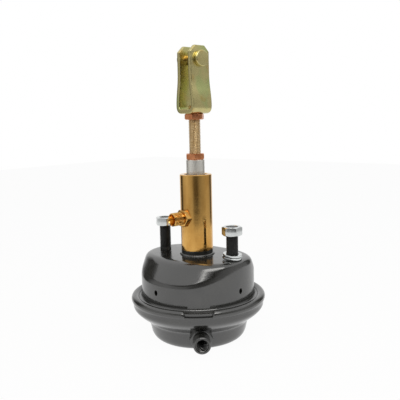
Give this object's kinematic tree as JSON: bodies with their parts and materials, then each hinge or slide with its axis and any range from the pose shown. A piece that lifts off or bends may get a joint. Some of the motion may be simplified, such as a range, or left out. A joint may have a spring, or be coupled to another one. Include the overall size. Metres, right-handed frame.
{
  "type": "brake chamber",
  "caption": "Combined air and hydraulic brake chamber: clamped steel housings, bolt-on studs, plunger tube and a clevis that pulls a brake lever.",
  "frame": {"origin": "middle of the two mounting studs, on the mounting face of the upper housing", "axes": "+Z along the push rod towards the clevis, +X from the bare stud to the stud with the washers, +Y away from the ports"},
  "size_m": [0.187, 0.187, 0.3974],
  "materials": {
    "upper_housing": "gloss black electrocoat on pressed steel",
    "lower_housing": "gloss black electrocoat on pressed steel",
    "diaphragm": "moulded fabric-reinforced rubber",
    "push_plate": "plain pressed steel, zinc plated",
    "push_rod": "ground steel bar",
    "return_spring": "oiled spring wire",
    "cylinder_tube": "bright yellow-passivated zinc plating",
    "tube_weld": "weld bead under the black coat",
    "bottom_gland": "turned steel",
    "gland_rod_seal": "smooth black seal rubber",
    "gland_o_ring": "smooth black seal rubber",
    "plunger": "satin hard chrome",
    "guide_bush": "turned bronze",
    "plunger_seal": "smooth black seal rubber",
    "wiper_ring": "smooth black seal rubber",
    "circlip": "phosphated spring steel",
    "threaded_rod": "yellow-passivated thread",
    "rod_lock_nut": "copper-brown passivated zinc",
    "clevis_lock_nut": "copper-brown passivated zinc",
    "clevis_fork": "olive-yellow passivated zinc with iridescent tints",
    "clevis_pin": "olive-yellow passivated zinc",
    "pin_washer": "olive-yellow passivated zinc",
    "split_pin": "bright zinc wire",
    "mounting_studs": "black phosphated thread",
    "stud_nuts": "bright zinc",
    "flat_washer": "bright zinc",
    "spring_washer": "bright zinc",
    "hydraulic_adapter": "yellow-passivated zinc",
    "air_port_boss": "gloss black electrocoat"
  },
  "bodies": {
    "housing": {"upper_housing": "upper_housing", "lower_housing": "lower_housing", "diaphragm": "diaphragm", "return_spring": "return_spring", "cylinder_tube": "cylinder_tube", "tube_weld": "tube_weld", "bottom_gland": "bottom_gland", "gland_rod_seal": "gland_rod_seal", "gland_o_ring": "gland_o_ring", "guide_bush": "guide_bush", "plunger_seal": "plunger_seal", "wiper_ring": "wiper_ring", "circlip": "circlip", "mounting_studs": "mounting_studs", "stud_nuts": "stud_nuts", "flat_washer": "flat_washer", "spring_washer": "spring_washer", "hydraulic_adapter": "hydraulic_adapter", "air_port_boss": "air_port_boss"},
    "push_rod_body": {"push_plate": "push_plate", "push_rod": "push_rod"},
    "plunger_body": {"plunger": "plunger", "threaded_rod": "threaded_rod", "rod_lock_nut": "rod_lock_nut", "clevis_lock_nut": "clevis_lock_nut", "clevis_fork": "clevis_fork"},
    "clevis_pin_body": {"clevis_pin": "clevis_pin", "pin_washer": "pin_washer", "split_pin": "split_pin"}
  },
  "joints": [
    {"name": "plunger_stroke", "type": "slide", "parent": "housing", "child": "plunger_body", "axis": [0, 0, 1], "range_m": [0, 0.057], "stiffness_N_per_m": 2000, "springref_m": -0.08},
    {"name": "push_rod_stroke", "type": "slide", "parent": "housing", "child": "push_rod_body", "axis": [0, 0, 1], "range_m": [0, 0.057], "deforming": ["return_spring", "diaphragm"]},
    {"name": "clevis_pin_turn", "type": "hinge", "parent": "plunger_body", "child": "clevis_pin_body", "pos_m": [0, 0, 0.264], "axis": [0.9848, -0.1736, 0], "continuous": true}
  ],
  "couplings": [
    {"joint": "push_rod_stroke", "follows": "plunger_stroke", "ratio": 1}
  ]
}
